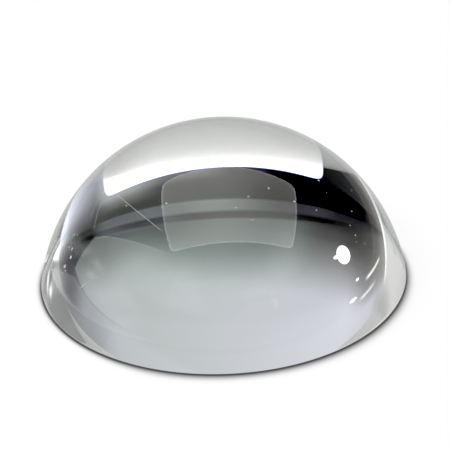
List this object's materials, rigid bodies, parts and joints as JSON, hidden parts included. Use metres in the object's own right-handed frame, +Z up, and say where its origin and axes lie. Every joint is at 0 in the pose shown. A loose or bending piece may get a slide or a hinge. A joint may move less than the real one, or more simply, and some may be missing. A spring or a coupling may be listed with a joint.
{
  "type": "dome magnifier",
  "caption": "Solid clear dome magnifier: a nearly hemispherical polished glass lens whose flat underside rests on the page and enlarges the print beneath it.",
  "frame": {"origin": "centre of the flat underside, on the optical axis", "axes": "+Z up along the optical axis, from the underside to the top of the dome; X and Y are free because the part is round"},
  "size_m": [0.08, 0.08, 0.035],
  "materials": {
    "optical_glass": "clear, polished all over"
  },
  "bodies": {
    "root": {"dome_lens": "optical_glass"}
  },
  "joints": []
}
